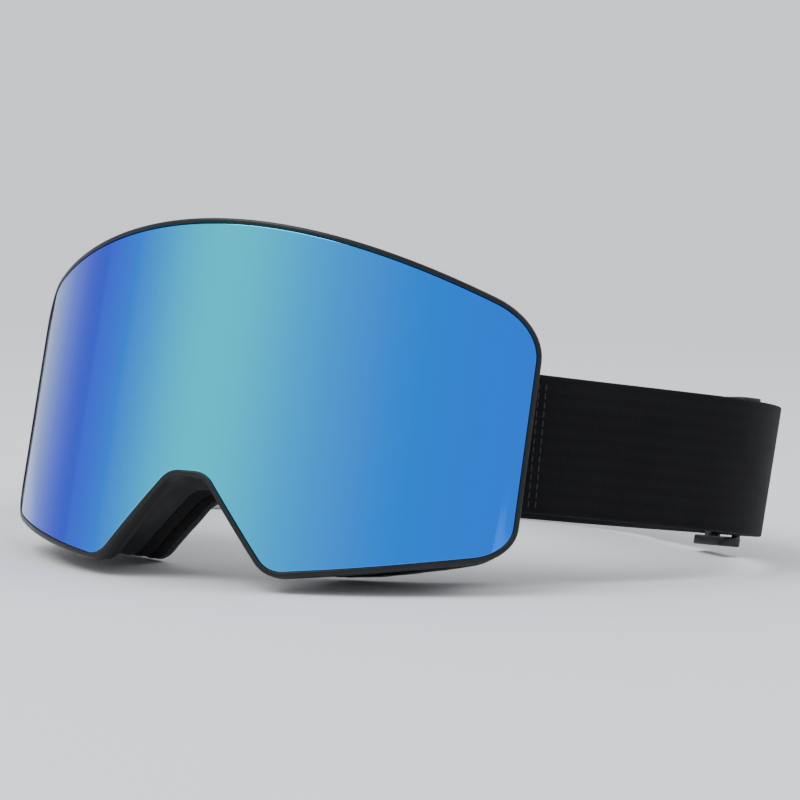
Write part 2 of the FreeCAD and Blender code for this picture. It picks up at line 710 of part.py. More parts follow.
def leaned(p, lean):
    """The point's y and z after the goggles lean back by that many degrees."""
    turn = math.radians(lean)
    return p.y * math.cos(turn) + p.z * math.sin(turn), p.z * math.cos(turn) - p.y * math.sin(turn)


def resting_lean(front, back):
    """The lean at which both groups of points are equally low."""
    low, high = 0.0, 45.0
    for _ in range(40):
        lean = (low + high) / 2
        gap = min(leaned(p, lean)[1] for p in front) - min(leaned(p, lean)[1] for p in back)
        low, high = (low, lean) if gap > 0 else (lean, high)
    return lean


made = parts()
frame_points = edge_points(s for name, s in made.items() if not name.startswith("strap"))
band_points = edge_points([made["strap_band"]])
lean = resting_lean(frame_points, band_points)
spots = [leaned(p, lean) for p in frame_points + band_points]
middle_y = (min(y for y, z in spots) + max(y for y, z in spots)) / 2
floor_z = min(z for y, z in spots)
print(f"leans back {lean:.4f} degrees, then moves by y {-middle_y:.4f} and z {-floor_z:.4f}")

os.makedirs("parts", exist_ok=True)
for name, shape in made.items():
    shape.rotate(Vector(0, 0, 0), Vector(1, 0, 0), -lean)
    shape.translate(Vector(0, -middle_y, -floor_z))
    solids = shape.Solids
    good = shape.isValid() and all(s.isClosed() and s.Volume > 0 for s in solids)
    print(f"{name}: {len(solids)} solid(s), {sum(s.Volume for s in solids):.1f} mm3, {'ok' if good else 'BAD'}")
    whole = solids[0] if len(solids) == 1 else Part.makeCompound(solids)
    whole.exportStep(f"parts/{name}.step")
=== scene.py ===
import functools
import json
import math
from collections import namedtuple

import bmesh
import bpy
from mathutils import Matrix, Vector, noise


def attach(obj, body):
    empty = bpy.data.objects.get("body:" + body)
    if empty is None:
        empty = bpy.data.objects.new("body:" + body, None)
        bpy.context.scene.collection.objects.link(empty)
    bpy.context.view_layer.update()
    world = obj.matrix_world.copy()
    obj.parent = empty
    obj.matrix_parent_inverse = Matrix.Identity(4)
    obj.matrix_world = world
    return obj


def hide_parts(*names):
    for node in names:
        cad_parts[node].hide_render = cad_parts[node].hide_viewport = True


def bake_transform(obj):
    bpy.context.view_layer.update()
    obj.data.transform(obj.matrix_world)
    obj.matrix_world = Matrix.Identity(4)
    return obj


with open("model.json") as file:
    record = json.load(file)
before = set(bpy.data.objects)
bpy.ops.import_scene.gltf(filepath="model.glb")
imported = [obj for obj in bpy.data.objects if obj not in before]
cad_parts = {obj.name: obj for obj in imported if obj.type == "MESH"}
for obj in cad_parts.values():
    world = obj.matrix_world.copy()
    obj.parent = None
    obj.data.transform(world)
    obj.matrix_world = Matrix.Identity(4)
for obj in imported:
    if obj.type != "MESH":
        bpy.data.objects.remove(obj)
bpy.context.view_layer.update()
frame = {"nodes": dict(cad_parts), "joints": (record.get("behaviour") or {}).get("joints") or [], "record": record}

# ---------------------------------------------------------------- the goggles' own upright frame
# The goggles stand leant back on the cheeks of their foam. Their own frame has
# the lens upright: its origin is where the foam first meets the bridge of the
# nose, and the way that the lens pulls off is its -Y.
joints = {j["name"]: j for j in frame["joints"]}
mounts = {m["name"]: m for m in frame["record"]["mounts"]}
MM = 0.001
pull = Vector(joints["lens_release"]["axis"])
LEAN = math.atan2(pull.z, -pull.y)
STOOD = Matrix.Translation(mounts["face_fit"]["pos_m"]) @ Matrix.Rotation(-LEAN, 4, "X")


def stood(x, y, z):
    """A point of the upright frame, in millimetres, as the goggles stand, in metres."""
    return STOOD @ (Vector((x, y, z)) * MM)


# ---------------------------------------------------------------- camera, table and light
# A long lens a little above the table, on the wearer's left. The table runs
# into a curved backdrop, lit by a wide softbox in front and a weaker one behind.
# The camera is set in the goggles' upright frame, and so leans as they do.
AZIMUTH = math.radians(30.408)
ELEVATION = math.radians(-7.355)
ROLL = math.radians(8.135)
DISTANCE = 0.8604
AIM = Vector((50.14, -7.79, 8.17)) * MM

towards_camera = Vector((
    math.sin(AZIMUTH) * math.cos(ELEVATION),
    -math.cos(AZIMUTH) * math.cos(ELEVATION),
    math.sin(ELEVATION),
))
camera_data = bpy.data.cameras.new("camera")
camera_data.lens = 135
camera_data.sensor_width = 36
camera = bpy.data.objects.new("camera", camera_data)
bpy.context.scene.collection.objects.link(camera)
camera.matrix_world = (
    STOOD
    @ Matrix.Translation(AIM + towards_camera * DISTANCE)
    @ towards_camera.to_track_quat("Z", "Y").to_matrix().to_4x4()
    @ Matrix.Rotation(ROLL, 4, "Z")
)
bpy.context.scene.camera = camera


class Socket:
    """A shader socket that can be written into sums and products."""

    def __init__(self, made_in, link):
        self.made_in = made_in
        self.link = link

    def math(self, operation, *others):
        return self.made_in.node("ShaderNodeMath", {"operation": operation}, [self, *others])

    def __add__(self, other):
        return self.math("ADD", other)

    def __sub__(self, other):
        return self.math("SUBTRACT", other)

    def __mul__(self, other):
        return self.math("MULTIPLY", other)

    def __rsub__(self, other):
        return self.made_in.node("ShaderNodeMath", {"operation": "SUBTRACT"}, [other, self])

    __radd__ = __add__
    __rmul__ = __mul__


class Finish:
    """A material with one Principled shader, and nodes made one at a time."""

    def __init__(self, name, **uniform):
        self.material = bpy.data.materials.new(name)
        self.material.use_nodes = True
        self.nodes = self.material.node_tree.nodes
        self.links = self.material.node_tree.links
        self.shader = self.nodes["Principled BSDF"]
        for socket, value in uniform.items():
            self.shader.inputs[socket.replace("_", " ")].default_value = value

    def put(self, target, value):
        if isinstance(value, Socket):
            self.links.new(value.link, target)
        else:
            target.default_value = value

    def node(self, kind, settings=(), values=(), output=0):
        """A node of that kind. values is a list in socket order, or a dictionary by socket name."""
        made = self.nodes.new(kind)
        for key, value in dict(settings).items():
            if key == "stops":
                ramp = made.color_ramp
                ramp.interpolation = "B_SPLINE"
                while len(ramp.elements) > 1:
                    ramp.elements.remove(ramp.elements[-1])
                for k, (place, colour) in enumerate(value):
                    stop = ramp.elements[0] if k == 0 else ramp.elements.new(place)
                    stop.position = place
                    stop.color = (*colour, 1)
            else:
                setattr(made, key, value)
        pairs = values.items() if isinstance(values, dict) else enumerate(values)
        for key, value in pairs:
            self.put(made.inputs[key], value)
        return Socket(self, made.outputs[output])

    def place(self):
        """Object coordinates, in metres."""
        return self.node("ShaderNodeTexCoord", output="Object")

    def apart(self, vector):
        """The three numbers of a vector."""
        made = self.nodes.new("ShaderNodeSeparateXYZ")
        self.put(made.inputs[0], vector)
        return [Socket(self, out) for out in made.outputs]

    def noise(self, vector, scale, detail=2.0, roughness=0.5):
        return self.node("ShaderNodeTexNoise", {}, {
            "Vector": vector, "Scale": scale, "Detail": detail, "Roughness": roughness})

    def mix(self, factor, first, second):
        made = self.nodes.new("ShaderNodeMix")
        made.data_type = "RGBA"
        for key, value in (("Factor_Float", factor), ("A_Color", first), ("B_Color", second)):
            target = next(s for s in made.inputs if s.identifier == key)
            self.put(target, (*value, 1) if isinstance(value, tuple) and len(value) == 3 else value)
        return Socket(self, next(s for s in made.outputs if s.identifier == "Result_Color"))

    def span(self, value, low, high, to_low=0.0, to_high=1.0):
        """value carried from low..high to to_low..to_high, and held at the ends."""
        return self.node("ShaderNodeMapRange", {"clamp": True}, [value, low, high, to_low, to_high])

    def bump(self, height, distance, strength):
        return self.node("ShaderNodeBump", {}, {
            "Height": height, "Distance": distance, "Strength": strength})

    def feed(self, **sockets):
        """Links what varies into the shader, by socket name with _ for a space."""
        for socket, value in sockets.items():
            self.put(self.shader.inputs[socket.replace("_", " ")], value)
        return self.material


WELD = 0.005 * MM


def grid(columns, rows, place):
    """A grid laid out by place(u, v), with u and v from 0 to 1, welded where its edges meet."""
    bm = bmesh.new()
    bm.loops.layers.uv.new("surface")
    bmesh.ops.create_grid(bm, x_segments=columns, y_segments=rows, size=0.5, calc_uvs=True)
    for v in bm.verts:
        v.co = place(min(1.0, max(0.0, v.co.x + 0.5)), min(1.0, max(0.0, v.co.y + 0.5)))
    bmesh.ops.remove_doubles(bm, verts=bm.verts, dist=WELD)
    return bm


def finished(bm, name, material, sharp=35.0, close=False):
    """Turns a bmesh into an object, with its edges over sharp degrees left crisp."""
    if close:
        rim = [e for e in bm.edges if e.is_boundary]
        bmesh.ops.holes_fill(bm, edges=rim, sides=0)
    bmesh.ops.recalc_face_normals(bm, faces=bm.faces)
    for face in bm.faces:
        face.smooth = True
    for edge in bm.edges:
        edge.smooth = edge.calc_face_angle(0.0) < math.radians(sharp)
    mesh = bpy.data.meshes.new(name)
    bm.to_mesh(mesh)
    bm.free()
    mesh.materials.append(material)
    made = bpy.data.objects.new(name, mesh)
    bpy.context.scene.collection.objects.link(made)
    return made


TABLE_DEPTH = 3.0
TABLE_WIDTH = 9.0
TABLE_IN_FRONT = 1.8  # of its depth, this much is before the goggles
WALL_HEIGHT = 3.0
SWEEP_RADIUS = 0.8
SWEEP_RUN = SWEEP_RADIUS * math.pi / 2


def backdrop_point(u, v):
    """Table, quarter-round sweep and wall, as one sheet square to the view."""
    run = v * (TABLE_DEPTH + SWEEP_RUN + WALL_HEIGHT)
    if run < TABLE_DEPTH:
        back, up = run, 0.0
    elif run < TABLE_DEPTH + SWEEP_RUN:
        turn = (run - TABLE_DEPTH) / SWEEP_RADIUS
        back, up = TABLE_DEPTH + SWEEP_RADIUS * math.sin(turn), SWEEP_RADIUS * (1 - math.cos(turn))
    else:
        back, up = TABLE_DEPTH + SWEEP_RADIUS, SWEEP_RADIUS + run - TABLE_DEPTH - SWEEP_RUN
    flat = Matrix.Rotation(AZIMUTH, 4, "Z") @ Vector(((u - 0.5) * TABLE_WIDTH, back - TABLE_IN_FRONT, 0))
    return Vector((flat.x, flat.y, up))


paper = Finish("backdrop_paper", Base_Color=(0.84, 0.84, 0.84, 1), Roughness=0.85)
backdrop = finished(grid(6, 48, backdrop_point), "backdrop", paper.material)


def softbox(name, place, size, power):
    """A square area light at place, turned to the goggles."""
    data = bpy.data.lights.new(name, "AREA")
    data.energy = power
    data.size = size
    light = bpy.data.objects.new(name, data)
    light.location = place
    light.rotation_euler = (place - STOOD @ AIM).to_track_quat("Z", "Y").to_euler()
    bpy.context.scene.collection.objects.link(light)


softbox("key_softbox", Vector((-0.5, -0.9, 1.5)), 1.1, 22)
softbox("side_softbox", Vector((1.3, 0.7, 1.4)), 0.9, 10)
world = bpy.data.worlds.new("studio")
world.use_nodes = True
world.node_tree.nodes["Background"].inputs["Color"].default_value = (0.9, 0.93, 1.0, 1)
world.node_tree.nodes["Background"].inputs["Strength"].default_value = 1.0
bpy.context.scene.world = world

# ---------------------------------------------------------------- face frame and lens seat
# The face frame is moulded in soft black rubber, and the seat that the lens
# sits on is stiff moulded plastic. Both have the fine spark-eroded grain of
# their moulds, a little worn to a shine where hands and the lens touch them.
def linear(*screen):
    """A colour given as screen values from 0 to 255, as the shader's linear values."""
    return tuple(c / 255 / 12.92 if c <= 10 else ((c / 255 + 0.055) / 1.055) ** 2.4 for c in screen)


def moulded(name, colour, worn, roughness, grain):
    """Black moulded plastic or rubber with a fine grain, rubbed smoother in patches."""
    made = Finish(name, Specular_IOR_Level=0.45)
    place = made.place()
    patches = made.span(made.noise(place, 90, 3.0), 0.45, 0.7)
    fine = made.noise(place, 1 / (grain * MM), 3.0, 0.6)
    return made.feed(
        Base_Color=made.mix(patches * 0.5, colour, worn),
        Roughness=roughness - patches * 0.12 + (fine - 0.5) * 0.15,
        Normal=made.bump(fine, 0.06 * MM, 0.6),
    )


def refinish(material, *names):
    """Gives CAD nodes that stay in view their finish."""
    for name in names:
        frame["nodes"][name].data.materials.clear()
        frame["nodes"][name].data.materials.append(material)


refinish(moulded("frame_rubber", linear(12, 12, 13), linear(22, 22, 24), 0.62, 0.35), "face_frame")
refinish(moulded("seat_plastic", linear(16, 16, 18), linear(28, 28, 30), 0.5, 0.25), "lens_seat")

# ---------------------------------------------------------------- magnets and strap bars
# Nickel-plated disc magnets are pressed into the rim and the seat, facing each
# other. The strap bars are turned steel pins with flat heads.
plated = Finish("nickel_plate", Metallic=1.0)
polish = plated.noise(plated.place(), 900, 2.0)
plated.feed(
    Base_Color=plated.mix(polish, linear(196, 194, 188), linear(168, 166, 162)),
    Roughness=plated.span(polish, 0.2, 0.8, 0.18, 0.32),
)
turned = Finish("turned_steel", Metallic=1.0)
rings = turned.node("ShaderNodeTexWave", {"bands_direction": "Z"}, {
    "Vector": turned.place(), "Scale": 900.0, "Distortion": 1.5, "Detail": 2.0}, output="Fac")
turned.feed(
    Base_Color=turned.mix(rings, linear(92, 92, 96), linear(120, 120, 124)),
    Roughness=turned.span(rings, 0.0, 1.0, 0.28, 0.42),
)
refinish(plated.material, "lens_magnets", "seat_magnets")
refinish(turned.material, "strap_bar_left", "strap_bar_right")

# ---------------------------------------------------------------- face foam
# Three layers of polyurethane foam are laminated, die-cut as one ring and
# glued to the frame's flange: firm cells, soft cells, and a brushed fleece
# that lies on the skin. The cut sides show the cells.
Shape = namedtuple("Shape", (
    "side",  # half width
    "crown", "crown_radius",  # the top's height and arc
    "low_side",  # height of each side's lower end
    "lobe",  # the cheek's tip
    "bow",  # of the edge from the side's lower end to the lobe
    "nose",  # the notch's upper corner
    "rounding",  # radii at the top, the low end, the lobe and the notch
))
SKIRT_FRONT = Shape(73.5, 50.5, 213.0, -33.0, (29.4, -45.8), 1.4, (7.0, -21.0), (14.0, 12.0, 8.0, 8.0))
SKIRT_BACK = Shape(72.0, 45.0, 190.0, -32.0, (31.5, -43.0), 1.0, (19.0, -31.0), (20.0, 14.0, 8.0, 8.0))
SKIRT_REACH = 80.0  # from the one outline to the other, straight back
EYE_RELIEF = 36.0
FACE_RADIUS = 100.0
FOAM_WIDTH = 12.0
FOAM_SIDE = 6.0  # how roundly a layer's sides bulge
EVEN_GIVE = 0.2  # how far the foam is drawn in
BROAD_GIVE, BROAD = 0.35, 0.09  # its slow unevenness, and the steps of noise to a millimetre
FINE_GIVE, FINE = 0.12, 0.35
LENS_RADIUS = 115.0
LENS_AXIS = 79.0
LENS_HALF = 86.5
SIDE_LEAN = math.sqrt(1 - (LENS_HALF / LENS_RADIUS) ** 2)  # of a margin, what the front view shows there
CORNER_STEPS = (49, 13, 11, 15, 9, 9)  # points on the crown, then on each corner down one side
RUN_STEPS = 6  # pieces of each straight run
BOW_CORNER = 1.6  # the low edge's middle corner is this many bows below its chord
LOW_ROOM = 0.8  # of the low corner's radius, and of the cheek's, that its rounding
CHEEK_ROOM = 0.65  # takes from the bowed edge


def crossing(first, second):
    """Where two lines cross. A line is a point and a direction."""
    (start, way), (other_start, other_way) = first, second
    return start + way * ((other_start - start).cross(other_way) / way.cross(other_way))


def corners(shape, margin, half):
    """The outline's sharp corners and their radii, clockwise from its crown, grown by margin."""
    top, low, cheek = (max(1.0, radius + margin) for radius in shape.rounding[:3])
    hollow = max(1.0, shape.rounding[3] - margin)
    crown_radius = shape.crown_radius + margin
    turn = math.asin((half - top) / (crown_radius - top))
    meet = Vector((math.sin(turn), math.cos(turn))) * crown_radius
    meet.y += shape.crown - shape.crown_radius
    apex = Vector((0, meet.y + meet.x * math.tan(turn)))
    shoulder = Vector((half, meet.y - (half - meet.x) * math.tan(turn)))
    outer, lobe, nose = Vector((shape.side, shape.low_side)), Vector(shape.lobe), Vector(shape.nose)
    chord = lobe - outer
    bowed = (outer + lobe) / 2 + Vector((-chord.y, chord.x)).normalized() * BOW_CORNER * shape.bow
    lines = [(Vector((half, 0)), Vector((0, -1)))]
    spots = [outer, bowed, lobe, nose, Vector((-nose.x, nose.y))]
    for start, end in zip(spots, spots[1:]):
        along = (end - start).normalized()
        lines.append((start + Vector((-along.y, along.x)) * margin, along))
    low_spot, bow_spot, cheek_spot, nose_spot = [crossing(a, b) for a, b in zip(lines, lines[1:])]
    room = min(
        (low_spot - bow_spot).length - LOW_ROOM * low,
        (cheek_spot - bow_spot).length - CHEEK_ROOM * cheek)
    bow_radius = room / math.tan(lines[1][1].angle(lines[2][1]) / 2)
    right = [
        (shoulder, top), (low_spot, low), (bow_spot, bow_radius), (cheek_spot, cheek), (nose_spot, hollow)]
    left = [(Vector((-spot.x, spot.y)), radius) for spot, radius in reversed(right)]
    return [(apex, crown_radius)] + right + left


def fillet(before, corner, after, radius, count):
    """count points round a corner of an outline."""
    start, end = (before - corner).normalized(), (after - corner).normalized()
    half = start.angle(end) / 2
    centre = corner + (start + end).normalized() * radius / math.sin(half)
    first = corner + start * radius / math.tan(half) - centre
    last = corner + end * radius / math.tan(half) - centre
    turn = (math.pi - 2 * half) * (1 if first.cross(last) > 0 else -1)
    return [centre + Matrix.Rotation(turn * k / (count - 1), 2) @ first for k in range(count)]


def rounded(sharp, counts, runs):
    """A closed outline through sharp corners with their radii."""
    points = []
    for k, (corner, radius) in enumerate(sharp):
        before, after = sharp[k - 1][0], sharp[(k + 1) % len(sharp)][0]
        points.append(fillet(Vector(before), Vector(corner), Vector(after), radius, counts[k]))
    closed = []
    for arc, following in zip(points, points[1:] + points[:1]):
        closed += arc + [arc[-1].lerp(following[0], j / runs) for j in range(1, runs)]
    return closed


@functools.cache
def outline(shape, margin, half=None):
    """The whole outline in the front view. half sets the half width of its straight sides."""
    half = shape.side + margin * SIDE_LEAN if half is None else half
    counts = CORNER_STEPS + CORNER_STEPS[:0:-1]
    return rounded(corners(shape, margin, half), counts, RUN_STEPS)


def face_y(x, height):
    """How far back the face is at x, grown forward by height."""
    return FACE_RADIUS - math.sqrt((FACE_RADIUS + height) ** 2 - x * x)


def in_skirt(k, margin, height):
    """A point of the tapering skirt, at step k of its outline, that far over the face."""
    front, back = outline(SKIRT_FRONT, margin)[k], outline(SKIRT_BACK, margin)[k]
    y = 0.0
    for _ in range(12):  # how far back and how far out depend on each other
        spot = front.lerp(back, (y + EYE_RELIEF) / SKIRT_REACH)
        y = face_y(spot.x, height)
    return Vector((spot.x, y, spot.y))


def ring(name, section, place, material, sharp=35.0):
    """A closed ring. place(k, a, b) puts point (a, b) of the section at step k of the outline."""
    steps = len(outline(SKIRT_FRONT, 0.0))

    def at(u, v):
        return stood(*place(round(u * steps) % steps, *section[round(v * len(section)) % len(section)]))

    return finished(grid(steps, len(section), at), name, material, sharp)


def cellular(name, colour, light, cell, depth, roughness=0.95, nap=0.0):
    """Open foam, or with some nap a brushed fleece over it."""
    made = Finish(name, Specular_IOR_Level=0.2, Sheen_Weight=nap, Sheen_Roughness=0.6)
    place = made.place()
    cells = made.node("ShaderNodeTexVoronoi", {"feature": "F1"}, {
        "Vector": place, "Scale": 1 / (cell * MM), "Randomness": 1.0}, output="Distance")
    cloudy = made.noise(place, 60, 3.0)
    fine = made.noise(place, 1 / (0.4 * cell * MM), 4.0, 0.7)
    pores = made.span(cells, 0.15, 0.65)
    return made.feed(
        Base_Color=made.mix(pores * 0.6 + cloudy * 0.4, light, colour),
        Roughness=made.span(cloudy, 0.3, 0.7, roughness - 0.08, 1.0),
        Normal=made.bump(1 - pores * 0.7 + fine * 0.5, depth * MM, 0.9),
    )


def foam_section(low, high, inset, round_over):
    """Section of a foam layer as (margin, height), its edges crowned and its sides drawn in."""
    sharp = [
        (Vector((-inset, low)), round_over), (Vector((0.0, (low + high) / 2)), FOAM_SIDE),
        (Vector((-inset, high)), round_over), (Vector((-FOAM_WIDTH + inset, high)), round_over),
        (Vector((-FOAM_WIDTH, (low + high) / 2)), FOAM_SIDE),
        (Vector((-FOAM_WIDTH + inset, low)), round_over),
    ]
    return [tuple(p) for p in rounded(sharp, (4, 3, 4, 4, 3, 4), 2)]


def cut_foam(k, margin, height):
    """The skirt's shape, a little uneven where the foam gives."""
    spot = in_skirt(k, margin, height)
    middle = in_skirt(k, -FOAM_WIDTH / 2, height)
    give = EVEN_GIVE + noise.noise(spot * BROAD) * BROAD_GIVE + noise.noise(spot * FINE) * FINE_GIVE
    return spot + (middle - spot).normalized() * max(0.0, give)


FOAM_LAYERS = (  # each layer's heights over the face, the draw of its sides and the rounding of its edges
    ("foam_base", 8.07, 15.93, 0.25, 0.8,
     cellular("firm_foam", linear(17, 17, 18), linear(38, 38, 40), 0.9, 0.3)),
    ("foam_middle", 2.07, 7.97, 0.3, 1.0,
     cellular("soft_foam", linear(13, 13, 14), linear(30, 30, 32), 0.6, 0.2)),
    ("foam_fleece", 0.0, 1.97, 0.35, 0.7,
     cellular("brushed_fleece", linear(11, 11, 12), linear(30, 30, 33), 0.35, 0.25, nap=0.25)),
)
for node, low, high, inset, round_over, material in FOAM_LAYERS:
    layer = ring(node + "_pad", foam_section(low, high, inset, round_over), cut_foam, material)
    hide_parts(node)
    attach(layer, "goggle_frame")

# ---------------------------------------------------------------- vent foams
# Strips of very open black foam are stuck inside the frame's walls, over the
# vent slots, so that air comes in and snow doesn't.
vent_cells = cellular("vent_foam_cells", linear(12, 12, 13), linear(44, 44, 47), 1.6, 0.5)
VENT_SECTION = [  # how far inside the wall, and the share of the way back
    (-1.9, 0.06), (-1.9, 0.5), (-1.9, 0.94), (-2.3, 1.0), (-3.3, 1.0),
    (-3.7, 0.94), (-3.75, 0.5), (-3.7, 0.06), (-3.3, 0.0), (-2.3, 0.0)]
VENT_FRONT = 6.6  # under the lens's front
VENT_BACK = 18.1  # over the face
TOP_VENT = 61.0  # from the middle to each end
LOW_VENT = (32.4, 68.4)


LOW_SLANT = 1.03  # the low wall slants, so a margin is this much longer straight down


def skirt_height(x, y, margin, upper):
    """Height of the skirt's top or bottom wall at x and y."""
    ends = []
    for shape in (SKIRT_FRONT, SKIRT_BACK):
        if upper:
            radius = shape.crown_radius + margin
            ends.append(shape.crown - shape.crown_radius + math.sqrt(radius ** 2 - x * x))
        else:
            lobe_x, lobe_z = shape.lobe
            share = (abs(x) - lobe_x) / (shape.side - lobe_x)
            bow = 4 * shape.bow * share * (1 - share)
            ends.append(lobe_z + (shape.low_side - lobe_z) * share - bow - margin * LOW_SLANT)
    return ends[0] + (ends[1] - ends[0]) * (y + EYE_RELIEF) / SKIRT_REACH


def lens_y(x, depth):
    """How far back the lens's cylinder is at x, that deep under its front."""
    return LENS_AXIS - math.sqrt((LENS_RADIUS - depth) ** 2 - x * x)


def vent_strip(node, low_x, high_x, upper):
    """A strip that stands for the node, from low_x to high_x inside the upper or lower wall."""
    rows = len(VENT_SECTION)

    def at(u, v):
        margin, share = VENT_SECTION[round(v * rows) % rows]
        x = low_x + (high_x - low_x) * u
        front, back = lens_y(x, VENT_FRONT), face_y(x, VENT_BACK)
        y = front + (back - front) * share
        return stood(x, y, skirt_height(x, y, margin, upper))

    strip = finished(grid(36, rows, at), node + "_strip", vent_cells, close=True)
    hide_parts(node)
    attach(strip, "goggle_frame")


vent_strip("top_vent_foam", -TOP_VENT, TOP_VENT, True)
vent_strip("bottom_vent_foam_left", LOW_VENT[0], LOW_VENT[1], False)
vent_strip("bottom_vent_foam_right", -LOW_VENT[1], -LOW_VENT[0], False)

# ---------------------------------------------------------------- lens rim
# The rim is injection-moulded in black plastic, with a ledge behind the lens.
# Its lip stands a hair over the lens, and pegs on its back drop into the seat.
LENS = Shape(LENS_HALF, 52.0, 213.0, -32.3, (29.4, -47.0), 1.4, (6.4, -20.5), (15.5, 11.0, 8.0, 8.0))
LEDGE_WIDTH = 5.5
SIDE_LEDGE = 10.5
RIM_SECTION = [tuple(p) for p in rounded([  # corners as (margin, depth), and their radii
    (Vector((0.12, 1.9)), 0.05), (Vector((0.12, -0.3)), 0.3),
    (Vector((1.7, -0.3)), 0.75), (Vector((1.7, 4.02)), 0.5),
    (Vector((-LEDGE_WIDTH, 4.02)), 0.3), (Vector((-LEDGE_WIDTH, 1.93)), 0.3),
], (2, 5, 7, 4, 4, 4), 3)]


def on_lens(x, z, depth):
    """The lens's front view carried onto its cylinder, that deep under its front."""
    radius = LENS_RADIUS - depth
    sine = x / LENS_RADIUS
    return Vector((radius * sine, LENS_AXIS - radius * math.sqrt(1 - sine * sine), z))


def on_rim(k, margin, depth):
    """A point of the rim. Its ledge is wider at the sides than above and below."""
    wide = SIDE_LEAN if margin > 0 else SIDE_LEDGE / LEDGE_WIDTH
    spot = outline(LENS, margin, LENS.side + margin * wide)[k]
    return on_lens(spot.x, spot.y, depth)


rim_plastic = Finish("rim_plastic", Specular_IOR_Level=0.35)
rim_place = rim_plastic.place()
rim_wear = rim_plastic.span(rim_plastic.noise(rim_place, 140, 4.0), 0.5, 0.75)
rim_grain = rim_plastic.noise(rim_place, 3500, 2.0)
rim_plastic.feed(
    Base_Color=rim_plastic.mix(rim_wear * 0.6, linear(10, 10, 11), linear(22, 23, 25)),
    Roughness=0.36 - rim_wear * 0.08 + (rim_grain - 0.5) * 0.12,
    Normal=rim_plastic.bump(rim_grain, 0.02 * MM, 0.5),
)
rim = ring("lens_rim_moulding", RIM_SECTION, on_rim, rim_plastic.material, 50.0)

PEGS = ((41.0, 46.08), (54.5, -40.0))
PEG_RADIUS = 1.5
PEG_LENGTH = 2.8
PEG_MIDDLE = 0.4  # behind the rim's back
RIM_BACK = 4.1
RIGHT_ANGLE = math.radians(90)
CRISP = 1.0  # edges that turn more than this, in radians, are the ones to round
bm = bmesh.new()
for x, z in PEGS:
    for side in (1, -1):
        middle = lens_y(x, RIM_BACK) + PEG_MIDDLE
        place = Matrix.Translation((side * x, middle, z)) @ Matrix.Rotation(RIGHT_ANGLE, 4, "X")
        made = bmesh.ops.create_cone(
            bm, cap_ends=True, segments=28, radius1=PEG_RADIUS, radius2=PEG_RADIUS, depth=PEG_LENGTH,
            matrix=place)
        edges = dict.fromkeys(
            e for v in made["verts"] for e in v.link_edges if e.calc_face_angle(0.0) > CRISP)
        bmesh.ops.bevel(
            bm, geom=list(edges), offset=0.3, segments=2, profile=0.5, affect="EDGES", material=-1)
bmesh.ops.transform(bm, matrix=STOOD @ Matrix.Scale(MM, 4), verts=bm.verts)
pegs = finished(bm, "lens_rim_pegs", rim_plastic.material)
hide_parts("lens_rim")
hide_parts("lens_rim")
for piece in (rim, pegs):
    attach(piece, "lens")

# ---------------------------------------------------------------- outer lens
# A sheet of dyed plastic is bent to a cylinder and vacuum-coated with thin
# metal oxides, whose thickness changes across it: blue, cyan, blue.
LENS_THICKNESS = 1.6
LENS_STRIPS = 72
COATING_EDGE = 90.0
SMEAR = 1.5  # how far the coating's colours wander
SQUARE = 1.2  # the flat sheet's own edges turn more than this, in radians,
LEVEL = 0.1  # and their two ends are within this of one depth
COATING = (  # mm from the middle, and the mirror's colour there
    (-86, 5, 130, 205), (-64, 0, 80, 250), (-44, 0, 0, 245), (-22, 0, 160, 250), (0, 0, 245, 250),
    (22, 0, 195, 250), (44, 0, 145, 250), (64, 0, 125, 250), (86, 0, 115, 250),
)
coating = Finish("mirror_coating", Metallic=1.0, Coat_Weight=0.25, Coat_Roughness=0.03)
coat_place = coating.place()
across = coating.apart(coat_place)[0]
smear = coating.noise(coat_place, 28, 3.0)
band = coating.span(across + (smear - 0.5) * (SMEAR * MM), -COATING_EDGE * MM, COATING_EDGE * MM)
stops = [((x + COATING_EDGE) / (2 * COATING_EDGE), linear(*colour)) for x, *colour in COATING]
tone = coating.node("ShaderNodeValToRGB", {"stops": stops}, [band])
streaks = coating.noise(coat_place, 120, 3.0)
coating.feed(
    Base_Color=coating.mix(streaks * 0.03, tone, linear(60, 150, 225)),
    Roughness=coating.span(smear * 0.6 + streaks * 0.4, 0.3, 0.7, 0.1, 0.15),
)
tint = Finish("lens_tint", Coat_Weight=0.4, Coat_Roughness=0.08)
tint_noise = tint.noise(tint.place(), 35, 3.0)
tint.feed(
    Base_Color=tint.mix(tint_noise, linear(22, 26, 34), linear(30, 36, 48)),
    Roughness=tint.span(tint_noise, 0.3, 0.7, 0.1, 0.18),
)
bm = bmesh.new()
bm.loops.layers.uv.new("surface")
corner_verts = [bm.verts.new((p.x, 0, p.y)) for p in outline(LENS, 0.0)]
border = [bm.edges.new(pair) for pair in zip(corner_verts, corner_verts[1:] + corner_verts[:1])]
bmesh.ops.contextual_create(bm, geom=border)
for k in range(1, LENS_STRIPS):
    x = LENS.side * (2 * k / LENS_STRIPS - 1)
    bmesh.ops.bisect_plane(
        bm, geom=bm.verts[:] + bm.edges[:] + bm.faces[:], plane_co=(x, 0, 0), plane_no=(1, 0, 0),
        dist=1e-4)
bmesh.ops.solidify(bm, geom=bm.faces[:], thickness=LENS_THICKNESS)
for v in bm.verts:
    v.co.y = abs(v.co.y)
sheet_edges = [
    e for e in bm.edges
    if e.calc_face_angle(0.0) > SQUARE and abs(e.verts[0].co.y - e.verts[1].co.y) < LEVEL]
bmesh.ops.bevel(bm, geom=sheet_edges, offset=0.2, segments=2, profile=0.5, affect="EDGES", material=-1)
for face in bm.faces:
    face.material_index = 1 if min(v.co.y for v in face.verts) > 0.2 * LENS_THICKNESS else 0
